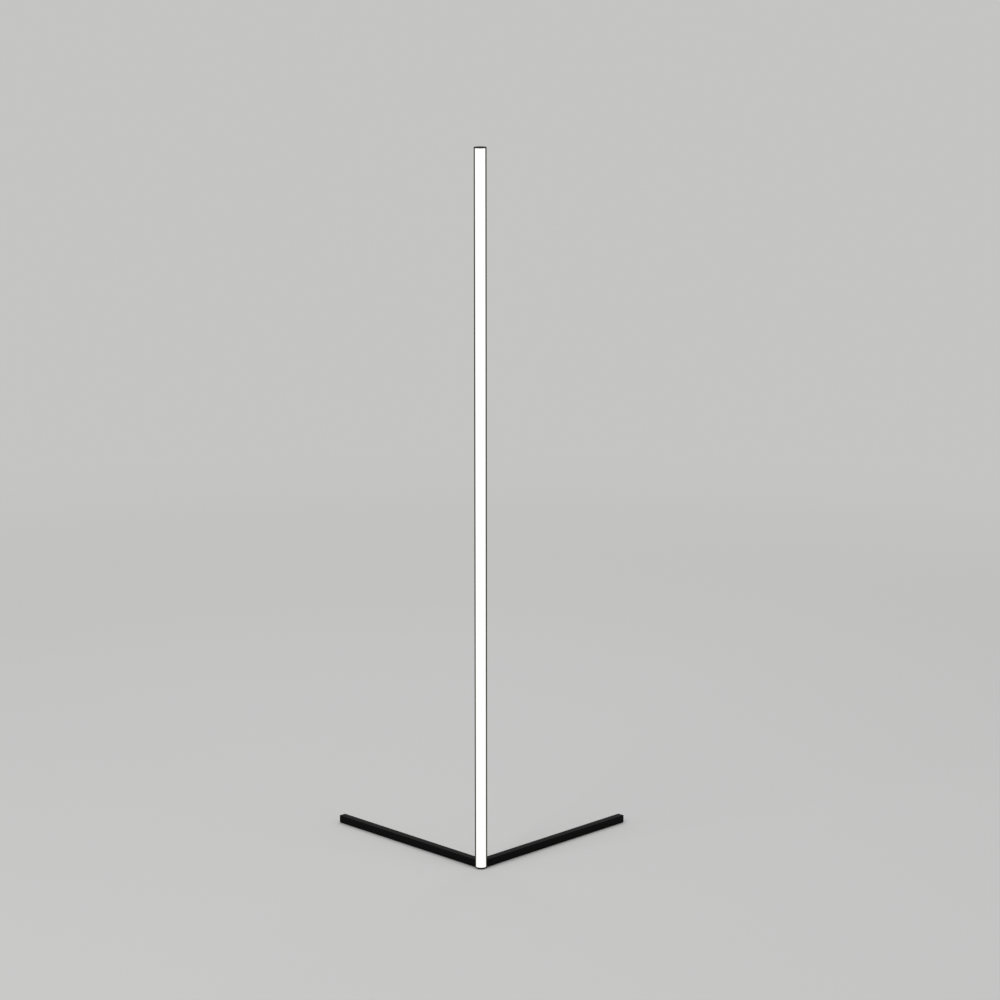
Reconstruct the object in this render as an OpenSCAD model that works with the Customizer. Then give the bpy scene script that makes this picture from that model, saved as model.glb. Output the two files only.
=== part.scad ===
// Corner floor lamp: a slim lit column on two legs that lie along the walls of a room corner.
// The floor is z = 0, the column's axis is x = y = 0, the light faces -Y and the legs run back
// at 45 degrees to +Y. All sizes are in millimetres.

/* [Column] */
// Height of the whole lamp above the floor
lamp_h = 1400; // [1000:10:1600]
// Outer diameter of the round column
column_d = 24; // [22:0.5:28]
// Wall of the aluminium extrusion
wall_t = 1.5; // [1.2:0.1:1.8]
// Thicker wall at the back, where screws and the power socket sit
back_wall_t = 3; // [2.6:0.1:3.2]
// Thickness of the web that carries the light boards
web_t = 1.5; // [1.2:0.1:2]
// Angle from the middle of the light slot to each black rim
slot_angle = 55; // [50:1:58]
// Height of the two ribs that keep the light boards straight
rib_h = 1.2; // [0.8:0.1:1.6]
// Thickness of those ribs
rib_t = 0.8; // [0.6:0.1:1]
// Wall around each screw port
port_wall = 1.2; // [1:0.1:1.4]

/* [Diffuser] */
// Thickness of the light cover
diffuser_t = 1.2; // [1:0.1:1.4]
// Thickness of its snap hooks
hook_t = 1; // [0.8:0.1:1.2]
// How far the hooks reach behind the rims, as an angle
hook_angle = 11; // [9:1:13]
// Height of the bump on each hook
hook_bump = 0.35; // [0.2:0.05:0.45]
// Gap between the light cover and each rim
rim_gap = 0.15; // [0.1:0.05:0.3]
// Gap above the light cover, so that it can grow when it is warm
warm_gap = 0.3; // [0.2:0.1:1]

/* [Top cap] */
// Thickness of the cap's disc
cap_t = 1.5; // [1.4:0.1:3]
// Length of the plug under the cap
plug_l = 5; // [3:0.5:10]
// Edge radius of the cap
cap_edge_r = 0.4; // [0.2:0.1:0.8]
// Diameter of the cap screws
cap_screw_d = 2.2; // [2:0.1:2.4]
// Head diameter of the cap screws
cap_head_d = 3.8; // [3.4:0.1:4]
// Length of the cap screws
cap_screw_l = 9.5; // [8:0.5:16]

/* [Foot] */
// Thickness of the disc that closes the column
disc_t = 2.2; // [2:0.1:4]
// Height of the step under the disc
step_h = 1; // [0.5:0.1:2]
// Diameter of the step under the disc
step_d = 17; // [16.5:0.5:19]
// Chamfer around the disc's lower edge
disc_chamfer = 0.3; // [0.2:0.1:0.6]
// Thickness of the arms inside the legs
arm_t = 6; // [5.5:0.5:7]
// How far the arms' roots lie below the top of the disc
arm_root_drop = 0.3; // [0.2:0.1:0.8]
// Length of the arms from the column's axis
arm_reach = 46; // [44:1:70]
// Height of the post inside the column, above the disc
post_h = 84; // [76:1:90]

/* [Legs] */
// Width and height of the square bars
leg_size = 15; // [14.5:0.5:16]
// Distance from the column's axis to the end of each leg
leg_reach = 400; // [200:5:500]
// Angle of each leg from straight back
leg_angle = 45; // [44:1:55]
// Edge radius of the bars
leg_edge_r = 0.8; // [0.4:0.1:1.5]
// Metal beside the slot that takes the arm
slot_wall = 1.8; // [1.6:0.1:2.2]
// Metal left above the tapped holes
leg_skin = 2; // [1.5:0.1:3]

/* [Pads] */
// Thickness of all pads
pad_t = 1; // [1:0.1:3]
// Diameter of the pad under the column
apex_pad_d = 16; // [12:0.5:16]
// Length of the pad under each leg
leg_pad_l = 28; // [15:1:40]
// Width of that pad
leg_pad_w = 12; // [8:0.5:13]
// Distance from the leg's end to the pad
leg_pad_inset = 6; // [2:1:20]

/* [Screws in the foot] */
// Diameter of the leg and column screws
screw_d = 4; // [3:0.5:4]
// Head diameter of the leg and column screws
head_d = 7.5; // [6.5:0.1:7.8]
// Distance from the column's axis to the first leg screw
leg_screw_at = 20; // [19:1:24]
// Spacing of the two screws in each leg
leg_screw_pitch = 18; // [12:1:19]
// Height of the lower column screw above the disc
column_screw_at = 26; // [22:1:30]
// Spacing of the two column screws
column_screw_pitch = 40; // [20:1:44]
// Length of the column screws
column_screw_l = 6; // [5:0.5:6]

/* [Lights] */
// Width of the light boards
board_w = 10; // [8:0.5:10]
// Thickness of the light boards
board_t = 1; // [0.8:0.1:1.6]
// Thickness of the tape behind them
tape_t = 0.3; // [0.2:0.1:0.5]
// Width of the tape
tape_w = 8; // [6:0.5:8]
// Groups of chips on each board
board_groups = 8; // [4:1:10]
// Chips in each group
group_chips = 6; // [3:1:6]
// Width of a chip
chip_w = 3.5; // [2.5:0.1:4]
// Length of a chip, along the column
chip_l = 2.8; // [2:0.1:3]
// Thickness of a chip
chip_t = 0.8; // [0.6:0.1:1]
// Width of a resistor
resistor_w = 1.25; // [1:0.05:1.3]
// Length of a resistor
resistor_l = 2; // [1.6:0.1:2.4]
// Thickness of a resistor
resistor_t = 0.5; // [0.4:0.1:0.6]
// Gap between one board and the next
board_gap = 1; // [0.5:0.1:2]
// Gap between the upper board and the cap
board_top_gap = 4; // [2:0.5:10]
// Diameter of the wires that join the boards
link_d = 0.8; // [0.5:0.1:1]
// Length of those wires
link_l = 4; // [3:0.5:5]

/* [Power socket] */
// Height of the socket above the floor
jack_at = 115; // [112:1:160]
// Bore of the socket
jack_bore_d = 6.3; // [6.1:0.1:6.4]
// Depth of the socket
jack_depth = 9.3; // [9:0.1:9.4]
// Outer diameter of the socket's barrel
jack_barrel_d = 8; // [7.8:0.1:8.4]
// Length of the barrel behind the flange
jack_barrel_l = 8.6; // [8.5:0.1:8.8]
// Diameter of the contact pin
jack_pin_d = 2.1; // [1.8:0.1:2.5]
// Width of the flange
flange_w = 10; // [9.5:0.1:10.4]
// Height of the flange
flange_h = 20; // [18:0.5:22]
// Thickness of the flange
flange_t = 2; // [1.8:0.1:2.5]
// Diameter of the flange screws
jack_screw_d = 2; // [1.6:0.1:2]
// Head diameter of the flange screws
jack_head_d = 3.6; // [3:0.1:3.8]
// Spacing of the flange screws
jack_screw_pitch = 14.4; // [13.8:0.1:14.6]
// Length of the flange screws
jack_screw_l = 5; // [4:0.5:6]

/* [Leads] */
// Diameter of each lead
lead_d = 1.4; // [1.2:0.1:1.5]
// Spacing of the two leads
lead_pitch = 2.6; // [2.2:0.1:2.8]
// Height of the lead hole above the disc
feed_at = 6; // [5:0.5:8]
// Wall of the sleeve that lines the lead hole
sleeve_t = 0.4; // [0.3:0.1:0.5]

/* [Clearances] */
// Gap around pieces that slide into each other
slide_gap = 0.3; // [0.2:0.05:0.4]
// Gap around a screw in a clearance hole
screw_gap = 0.2; // [0.1:0.05:0.3]
// Gap around a screw in its thread
thread_gap = 0.05; // [0.02:0.01:0.1]

/* [Hidden] */
$fn = 64;
EPS = 0.01;
MERGE = 0.35;          // how deep neighbouring shapes of one piece run into each other

column_r = column_d / 2;
chamber_r = column_r - wall_t;
back_y = column_r - back_wall_t;             // flat inner face of the back wall
leg_bottom = pad_t;
disc_bottom = pad_t + step_h;
column_bottom = disc_bottom + disc_t;
column_top = lamp_h - cap_t;
arm_top = pad_t + arm_t;
root_top = column_bottom - arm_root_drop;
leg_inner_r = column_r + slide_gap;
leg_top = leg_bottom + leg_size;
post_top = column_bottom + post_h;
diffuser_top = column_top - warm_gap;

// Screw ports: two round tubes in the corners of the rear chamber
port_bore_r = cap_screw_d / 2 + thread_gap;
port_r = port_bore_r + port_wall;
port_y = port_r - MERGE;
port_x = sqrt(pow(chamber_r - port_r + MERGE, 2) - pow(port_y, 2));
port_inner_x = port_x - port_r;

// Snap hooks behind the rims
rim_gap_angle = rim_gap / column_r * 180 / PI;
hook_root_angle = slot_angle - 5;
hook_tip_angle = slot_angle + hook_angle;
hook_out_r = chamber_r - slide_gap;
hook_in_r = hook_out_r - hook_t;
bump_angle = 3;
groove_slack_angle = 1.5;

// Light boards
board_back_y = -web_t - tape_t;
board_front_y = board_back_y - board_t;
feed_z = column_bottom + feed_at;
lead_x = lead_pitch / 2;
sleeve_bore_r = lead_x + lead_d / 2 + thread_gap;
sleeve_r = sleeve_bore_r + sleeve_t;
feed_hole_r = sleeve_r + thread_gap;
board_bottom = feed_z + sleeve_r + 1;
board_l = (column_top - board_top_gap - board_bottom - 2 * board_gap) / 3;
chip_pitch = board_l / (board_groups * group_chips);
rib_x = board_w / 2 + slide_gap;

// Power socket
flange_gap = 0.2;
seat_y = sqrt(pow(column_r, 2) - pow(flange_w / 2 + flange_gap, 2)) - flange_gap;
flange_y = seat_y + flange_t;
barrel_y = seat_y - jack_barrel_l;           // rear face of the barrel
socket_floor_y = flange_y - jack_depth;
tab_t = 0.4;
tab_w = 2;
tab_y = barrel_y - tab_t;
tab_bottom = jack_at - jack_barrel_d / 2 - 4;
contact_w = 1.6;
rivet_r = 0.6;

// Leads
lead_y = tab_y + tab_t / 2;
lead_front_y = board_front_y - lead_d / 2;
lead_end = board_bottom + (chip_pitch - chip_l) / 2 - slide_gap;   // just short of the first chip
groove_w = 2 * max(lead_x + lead_d / 2 + slide_gap, feed_hole_r);
groove_floor_y = lead_y + lead_d / 2 + slide_gap;

// Screws
head_rim = 0.2;
arm_w = leg_size - 2 * slot_wall - slide_gap;
leg_head_z = leg_bottom + 0.15;
thread_room = 0.85;                          // room ahead of a screw's tip
leg_screw_l = leg_top - leg_skin - thread_room - leg_head_z;
column_head_y = sqrt(pow(column_r, 2) - pow(head_d / 2, 2)) - 0.05;
column_screw_z = [column_bottom + column_screw_at, column_bottom + column_screw_at + column_screw_pitch];
jack_screw_z = [jack_at - jack_screw_pitch / 2, jack_at + jack_screw_pitch / 2];

BLACK = [0.05, 0.05, 0.055];
SOFT_BLACK = [0.1, 0.1, 0.1];
WHITE = [0.97, 0.97, 0.96];
STEEL = [0.66, 0.67, 0.68];
COPPER = [0.8, 0.5, 0.3];
RED = [0.7, 0.1, 0.08];
YELLOW = [0.95, 0.85, 0.4];

// ---------------------------------------------------------------- helpers

// Draws its children at +x and again at -x
module both_sides() {
    children();
    mirror([1, 0, 0]) children();
}

// Stands a shape that was drawn upright along +Y, starting at y and at height z
module backward(y, z) {
    translate([0, y, z]) rotate([-90, 0, 0]) children();
}

// Turns a shape that was drawn along +X into the direction of a leg; side is 1 (right) or -1 (left)
module along_leg(side) {
    rotate(90 - side * leg_angle) children();
}

// Wedge of the plan, with angles counted from the front, -Y, towards +X
module wedge(from, to) {
    steps = ceil((to - from) / 60);
    polygon(concat([[0, 0]], [for (i = [0 : steps])
        let (a = from + (to - from) * i / steps) 2 * column_r * [sin(a), -cos(a)]]));
}

// Part of a ring in plan
module band(r_in, r_out, from, to) {
    intersection() {
        difference() {
            circle(r_out);
            circle(r_in);
        }
        wedge(from, to);
    }
}

// Rectangle with round corners, centred
module round_rect(w, h, r) {
    square([w - 2 * r, h], center = true);
    square([w, h - 2 * r], center = true);
    for (x = [-1, 1], y = [-1, 1]) translate([x * (w / 2 - r), y * (h / 2 - r)]) circle(r);
}

// Countersunk screw with its head's flat face at z = 0 and its tip at z = -l
module flat_screw(d, head, l, drive) {
    cone = (head - d) / 2;
    tip = d / 8;
    difference() {
        union() {
            translate([0, 0, -head_rim]) cylinder(h = head_rim, d = head);
            translate([0, 0, -head_rim - cone]) cylinder(h = cone, d1 = d, d2 = head);
            translate([0, 0, tip - l]) cylinder(h = l - tip - head_rim, d = d);
            translate([0, 0, -l]) cylinder(h = tip, d1 = d - 2 * tip, d2 = d);
        }
        translate([0, 0, -d / 2]) cylinder(h = d, d = drive, $fn = 6);
    }
}

// Seat for that screw's head, with a clearance hole of length l below it
module flat_screw_seat(d, head, l) {
    cone = (head - d) / 2;
    hole_d = d + 2 * screw_gap;
    seat_d = head + 2 * screw_gap;
    translate([0, 0, -head_rim]) cylinder(h = column_r, d = seat_d);
    translate([0, 0, -head_rim - cone]) cylinder(h = cone + EPS, d1 = hole_d, d2 = seat_d + 2 * EPS);
    translate([0, 0, -l]) cylinder(h = l, d = hole_d);
}

// ---------------------------------------------------------------- column

module housing_profile() {
    difference() {
        union() {
            band(chamber_r, column_r, slot_angle, 360 - slot_angle);
            intersection() {
                circle(chamber_r + MERGE);
                union() {
                    translate([-column_r, back_y]) square([column_d, back_wall_t]);
                    translate([-column_r, -web_t]) square([column_d, web_t]);
                }
            }
            both_sides() {
                translate([rib_x, -web_t - rib_h]) square([rib_t, rib_h + MERGE]);
                translate([port_x, port_y]) circle(port_r);
            }
        }
        both_sides() {
            translate([port_x, port_y]) circle(port_bore_r);
            band(chamber_r - MERGE, chamber_r + hook_bump + thread_gap,
                 hook_tip_angle - bump_angle - groove_slack_angle, hook_tip_angle + groove_slack_angle);
        }
    }
}

module column_housing() {
    color(BLACK) difference() {
        translate([0, 0, column_bottom]) linear_extrude(column_top - column_bottom) housing_profile();
        for (z = column_screw_z)
            backward(column_head_y, z) flat_screw_seat(screw_d, head_d, column_head_y - back_y + MERGE);
        // flat seat, barrel hole and screw holes of the power socket
        backward(seat_y, jack_at) {
            linear_extrude(column_r)
                round_rect(flange_w + 2 * flange_gap, flange_h + 2 * flange_gap, flange_w / 2);
            translate([0, 0, back_y - seat_y - MERGE])
                cylinder(h = seat_y, d = jack_barrel_d + 2 * screw_gap);
        }
        for (z = jack_screw_z)
            backward(back_y - MERGE, z) cylinder(h = column_r, d = jack_screw_d + 2 * thread_gap);
        // hole for the leads through the web
        backward(-web_t - MERGE, feed_z) cylinder(h = web_t + 2 * MERGE, r = feed_hole_r);
    }
}

module diffuser() {
    edge_angle = slot_angle - rim_gap_angle;
    color(WHITE) translate([0, 0, column_bottom]) linear_extrude(diffuser_top - column_bottom) {
        band(column_r - diffuser_t, column_r, -edge_angle, edge_angle);
        both_sides() {
            band(hook_in_r, column_r - diffuser_t + EPS, hook_root_angle, edge_angle);
            band(hook_in_r, hook_out_r, hook_root_angle, hook_tip_angle);
            band(hook_in_r, hook_out_r + hook_bump, hook_tip_angle - bump_angle, hook_tip_angle);
        }
    }
}

// Section of the rear chamber, drawn smaller by the sliding gap; back is the y of its rear face
module chamber_profile(back) {
    difference() {
        intersection() {
            circle(chamber_r - slide_gap);
            translate([-column_r, slide_gap]) square([column_d, back - slide_gap]);
        }
        both_sides() translate([port_x, port_y]) circle(port_r + slide_gap);
    }
}

module top_cap() {
    color(BLACK) difference() {
        union() {
            translate([0, 0, column_top]) rotate_extrude() {
                square([column_r - cap_edge_r, cap_t]);
                square([column_r, cap_t - cap_edge_r]);
                translate([column_r - cap_edge_r, cap_t - cap_edge_r]) circle(cap_edge_r);
            }
            translate([0, 0, column_top - plug_l]) linear_extrude(plug_l + MERGE)
                intersection() {
                    chamber_profile(back_y - slide_gap);
                    square([2 * (port_inner_x - slide_gap), column_d], center = true);
                }
        }
        both_sides() translate([port_x, port_y, lamp_h - EPS]) flat_screw_seat(cap_screw_d, cap_head_d, plug_l);
    }
}

module top_cap_screws() {
    color(BLACK) both_sides() translate([port_x, port_y, lamp_h - EPS])
        flat_screw(cap_screw_d, cap_head_d, cap_screw_l, cap_screw_d * 0.6);
}

// ---------------------------------------------------------------- foot

module arm_plan(width, gap) {
    translate([0, -width / 2]) square([arm_reach - width / 2 + gap, width]);
    translate([arm_reach - width / 2 + gap, 0]) circle(d = width);
}

module post_profile() {
    difference() {
        intersection() {
            chamber_profile(back_y);
            square([2 * (port_inner_x - slide_gap), column_d], center = true);
        }
        // groove for the leads down the front of the post
        translate([-groove_w / 2, 0]) square([groove_w, groove_floor_y]);
    }
}

module foot_hub() {
    color(BLACK) difference() {
        union() {
            // step and arm roots under the disc
            translate([0, 0, pad_t]) linear_extrude(root_top - pad_t) {
                circle(d = step_d);
                for (side = [-1, 1]) along_leg(side) arm_plan(arm_w, 0);
            }
            translate([0, 0, disc_bottom]) rotate_extrude() polygon([
                [0, 0], [column_r - disc_chamfer, 0], [column_r, disc_chamfer], [column_r, disc_t], [0, disc_t]]);
            // full height of the arms, outside the column
            translate([0, 0, root_top - MERGE]) linear_extrude(arm_top - root_top + MERGE) difference() {
                for (side = [-1, 1]) along_leg(side) arm_plan(arm_w, 0);
                circle(leg_inner_r);
            }
            translate([0, 0, column_bottom - MERGE]) linear_extrude(post_h + MERGE) post_profile();
        }
        for (z = column_screw_z) backward(column_head_y - column_screw_l - thread_room / 2, z)
            cylinder(h = column_r, d = screw_d + 2 * thread_gap);
        for (side = [-1, 1], i = [0, 1])
            along_leg(side) translate([leg_screw_at + i * leg_screw_pitch, 0, leg_head_z])
                mirror([0, 0, 1]) flat_screw_seat(screw_d, head_d, arm_t + MERGE);
    }
}

module column_screws() {
    color(BLACK) for (z = column_screw_z)
        backward(column_head_y, z) flat_screw(screw_d, head_d, column_screw_l, screw_d * 0.6);
}

module leg(side) {
    color(BLACK) along_leg(side) difference() {
        intersection() {
            translate([0, 0, leg_bottom + leg_size / 2]) rotate([90, 0, 90])
                linear_extrude(leg_reach) round_rect(leg_size, leg_size, leg_edge_r);
            translate([0, 0, leg_bottom]) linear_extrude(leg_size)
                round_rect(2 * leg_reach, leg_size, leg_edge_r);
            translate([0, leg_size / 2, leg_bottom + leg_size / 2]) rotate([90, 0, 0])
                linear_extrude(leg_size) round_rect(2 * leg_reach, leg_size, leg_edge_r);
        }
        translate([0, 0, -EPS]) cylinder(h = 2 * leg_top, r = leg_inner_r);
        // slot for the arm of the foot hub
        translate([0, 0, leg_bottom - EPS]) linear_extrude(arm_t + EPS)
            arm_plan(arm_w + slide_gap, slide_gap);
        for (i = [0, 1]) translate([leg_screw_at + i * leg_screw_pitch, 0, leg_bottom])
            cylinder(h = leg_size - leg_skin, d = screw_d + 2 * thread_gap);
    }
}

module left_leg() { leg(-1); }
module right_leg() { leg(1); }

module leg_screws() {
    color(STEEL) for (side = [-1, 1], i = [0, 1])
        along_leg(side) translate([leg_screw_at + i * leg_screw_pitch, 0, leg_head_z])
            mirror([0, 0, 1]) flat_screw(screw_d, head_d, leg_screw_l, screw_d * 0.6);
}

module apex_pad() { color(SOFT_BLACK) cylinder(h = pad_t, d = apex_pad_d); }

module leg_pad(side) {
    color(SOFT_BLACK) along_leg(side)
        translate([leg_reach - leg_pad_inset - leg_pad_l / 2, 0, 0]) linear_extrude(pad_t)
            round_rect(leg_pad_l, leg_pad_w, leg_pad_w / 4);
}

module left_leg_pad() { leg_pad(-1); }
module right_leg_pad() { leg_pad(1); }

// ---------------------------------------------------------------- lights

function board_z(i) = board_bottom + i * (board_l + board_gap);

module light_board(i) {
    color(WHITE) translate([-board_w / 2, board_front_y, board_z(i)]) cube([board_w, board_t, board_l]);
}

module board_tape(i) {
    color(STEEL) translate([-tape_w / 2, board_back_y, board_z(i)]) cube([tape_w, tape_t, board_l]);
}

module light_chips(i) {
    color(YELLOW) for (k = [0 : board_groups * group_chips - 1])
        translate([-chip_w / 2, board_front_y - chip_t, board_z(i) + (k + 0.5) * chip_pitch - chip_l / 2])
            cube([chip_w, chip_t, chip_l]);
}

module resistors(i) {
    x = board_w / 2 - resistor_w - slide_gap;
    color(SOFT_BLACK) for (k = [0 : board_groups - 1])
        translate([x, board_front_y - resistor_t, board_z(i) + (k + 0.5) * group_chips * chip_pitch - resistor_l / 2])
            cube([resistor_w, resistor_t, resistor_l]);
}

module led_board_lower() { light_board(0); }
module led_board_middle() { light_board(1); }
module led_board_upper() { light_board(2); }
module led_chips_lower() { light_chips(0); }
module led_chips_middle() { light_chips(1); }
module led_chips_upper() { light_chips(2); }
module resistors_lower() { resistors(0); }
module resistors_middle() { resistors(1); }
module resistors_upper() { resistors(2); }
module board_tape_lower() { board_tape(0); }
module board_tape_middle() { board_tape(1); }
module board_tape_upper() { board_tape(2); }

module board_links() {
    color(COPPER) for (i = [0, 1])
        translate([0, board_front_y - link_d / 2, board_z(i + 1) - board_gap / 2 - link_l / 2])
            both_sides() translate([chip_w / 2 + link_d, 0, 0]) cylinder(h = link_l, d = link_d);
}

// ---------------------------------------------------------------- power socket and leads

module jack_body() {
    color(SOFT_BLACK) difference() {
        union() {
            backward(seat_y, jack_at) linear_extrude(flange_t) round_rect(flange_w, flange_h, flange_w / 2 - EPS);
            backward(barrel_y, jack_at) cylinder(h = jack_barrel_l + MERGE, d = jack_barrel_d);
        }
        backward(socket_floor_y, jack_at) cylinder(h = column_r, d = jack_bore_d);
        backward(barrel_y - EPS, jack_at) cylinder(h = jack_barrel_l, r = rivet_r + thread_gap);
        for (z = jack_screw_z) backward(flange_y - EPS, z) flat_screw_seat(jack_screw_d, jack_head_d, flange_t + EPS);
        // slot for the side contact
        translate([-lead_x - contact_w / 2 - thread_gap, barrel_y - EPS, contact_z() - tab_t / 2 - thread_gap])
            cube([contact_w + 2 * thread_gap, jack_barrel_l, tab_t + 2 * thread_gap]);
    }
}

function contact_z() = jack_at - jack_bore_d / 2 + tab_t / 2 + thread_gap;

module solder_tab(x, top) {
    translate([x - tab_w / 2, tab_y, tab_bottom]) cube([tab_w, tab_t, top - tab_bottom]);
}

module jack_pin() {
    pin_r = jack_pin_d / 2;
    pin_end_y = flange_y - 1 - pin_r;
    color(STEEL) {
        backward(socket_floor_y, jack_at) cylinder(h = pin_end_y - socket_floor_y, r = pin_r);
        translate([0, pin_end_y, jack_at]) sphere(pin_r);
        backward(tab_y, jack_at) cylinder(h = socket_floor_y - tab_y + EPS, r = rivet_r);
        solder_tab(lead_x, jack_at + rivet_r);
        translate([-rivet_r, tab_y, jack_at - rivet_r]) cube([lead_x + rivet_r, tab_t, 2 * rivet_r]);
    }
}

module jack_contact() {
    color(STEEL) {
        translate([-lead_x - contact_w / 2, tab_y, contact_z() - tab_t / 2])
            cube([contact_w, jack_barrel_l - 1, tab_t]);
        solder_tab(-lead_x, contact_z() + tab_t / 2);
    }
}

module jack_screws() {
    color(STEEL) for (z = jack_screw_z)
        backward(flange_y - EPS, z) flat_screw(jack_screw_d, jack_head_d, jack_screw_l, jack_screw_d * 0.6);
}

// Lead from its solder tab down the post's groove, through the web and up onto the lower board
module lead(side, tint) {
    color(tint) translate([side * lead_x, 0, 0]) {
        translate([0, lead_y, feed_z]) cylinder(h = tab_bottom - feed_z, d = lead_d);
        translate([0, lead_y, feed_z]) sphere(d = lead_d);
        backward(lead_front_y, feed_z) cylinder(h = lead_y - lead_front_y, d = lead_d);
        translate([0, lead_front_y, feed_z]) sphere(d = lead_d);
        translate([0, lead_front_y, feed_z]) cylinder(h = lead_end - feed_z, d = lead_d);
    }
}

module lead_positive() { lead(1, RED); }
module lead_negative() { lead(-1, SOFT_BLACK); }

module lead_sleeve() {
    color(SOFT_BLACK) backward(-web_t - slide_gap, feed_z) difference() {
        cylinder(h = web_t + 2 * slide_gap, r = sleeve_r);
        translate([0, 0, -EPS]) cylinder(h = web_t + 1, r = sleeve_bore_r);
    }
}

// ---------------------------------------------------------------- drawing

column_housing();
diffuser();
top_cap();
top_cap_screws();
foot_hub();
column_screws();
left_leg();
right_leg();
leg_screws();
apex_pad();
left_leg_pad();
right_leg_pad();
led_board_lower();
led_board_middle();
led_board_upper();
led_chips_lower();
led_chips_middle();
led_chips_upper();
resistors_lower();
resistors_middle();
resistors_upper();
board_tape_lower();
board_tape_middle();
board_tape_upper();
board_links();
lead_positive();
lead_negative();
lead_sleeve();
jack_body();
jack_pin();
jack_contact();
jack_screws();
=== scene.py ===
# %% [markdown]
# # A slim corner floor lamp
# The lamp is an aluminium column with an opal light cover, on two steel bars at right angles to
# each other. This lesson dresses its packed construction model: every CAD part is already in
# place, in metres, and each gets a finish, or a finer piece that stands for it.

# %% Load the frame
import math

import bmesh
import bpy
from mathutils import Matrix, Vector


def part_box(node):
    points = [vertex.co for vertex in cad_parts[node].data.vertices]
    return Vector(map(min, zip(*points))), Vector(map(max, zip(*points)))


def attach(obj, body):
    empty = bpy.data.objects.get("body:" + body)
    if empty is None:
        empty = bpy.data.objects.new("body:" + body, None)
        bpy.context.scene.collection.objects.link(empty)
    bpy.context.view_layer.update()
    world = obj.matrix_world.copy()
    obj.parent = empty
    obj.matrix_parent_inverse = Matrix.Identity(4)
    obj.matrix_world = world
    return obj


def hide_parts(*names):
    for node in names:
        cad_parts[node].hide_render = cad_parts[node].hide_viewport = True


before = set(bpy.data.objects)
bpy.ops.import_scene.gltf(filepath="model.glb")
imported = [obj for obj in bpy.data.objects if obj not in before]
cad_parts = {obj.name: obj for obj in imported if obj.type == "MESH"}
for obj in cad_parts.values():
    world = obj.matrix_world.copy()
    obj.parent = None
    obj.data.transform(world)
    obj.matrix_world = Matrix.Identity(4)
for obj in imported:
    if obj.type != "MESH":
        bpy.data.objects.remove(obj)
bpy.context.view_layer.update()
BODY = "root"
MM = 0.001

# %% [markdown]
# ## Sizes from the frame
# A piece that stands for a CAD part takes its place and size from that part's box, so nothing is
# fitted by eye. The radii of the column and cover, and the cover's two ends, are used again and
# again.

# %% Sizes that several pieces share
COLUMN_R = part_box("column_housing")[1].x
cover_low, cover_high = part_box("diffuser")
COVER_R = -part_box("foot_hub")[0].y
print(f"column radius {COLUMN_R / MM:.2f} mm, cover radius {COVER_R / MM:.2f} mm")
print(f"cover from {cover_low.z / MM:.1f} to {cover_high.z / MM:.1f} mm")

# %% [markdown]
# ## Nodes and colours
# Colours are written as sRGB hex values, as a colour picker shows them, and turned to the linear
# values that the shader needs. One small function adds any shader node with its settings and
# links, so each material below reads as a list of what happens to the surface.

# %% Helpers for materials
def linear(hex_colour):
    """Linear RGBA of an sRGB hex colour such as "1a1a1c"."""
    channels = [int(hex_colour[i:i + 2], 16) / 255 for i in (0, 2, 4)]
    return [c / 12.92 if c <= 0.04045 else ((c + 0.055) / 1.055) ** 2.4 for c in channels] + [1.0]


def add(material, kind, settings=None, **inputs):
    """Adds a node. settings are its properties; inputs are its sockets, by name with _ for a
    space or by number after an n, each a plain value or another node's output."""
    node = material.node_tree.nodes.new(kind)
    for name, value in (settings or {}).items():
        setattr(node, name, value)
    for name, value in inputs.items():
        socket = node.inputs[int(name[1:]) if name[1:].isdigit() else name.replace("_", " ")]
        if isinstance(value, bpy.types.NodeSocket):
            material.node_tree.links.new(value, socket)
        else:
            socket.default_value = value
    return node


def join(material, output, shader, socket):
    material.node_tree.links.new(output, shader.inputs[socket])


def finish_for(name, base, roughness, specular=0.5, metallic=0.0):
    """Starts a material: returns it with its shader and its object coordinates."""
    material = bpy.data.materials.new(name)
    material.use_nodes = True
    shader = material.node_tree.nodes["Principled BSDF"]
    shader.inputs["Base Color"].default_value = linear(base)
    shader.inputs["Roughness"].default_value = roughness
    shader.inputs["Specular IOR Level"].default_value = specular
    shader.inputs["Metallic"].default_value = metallic
    place = add(material, "ShaderNodeTexCoord").outputs["Object"]
    print("finish:", name)
    return material, shader, place


def cells_per_metre(size_mm):
    """Scale of a noise whose blotches are about size_mm across."""
    return 1 / (size_mm * MM)
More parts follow.
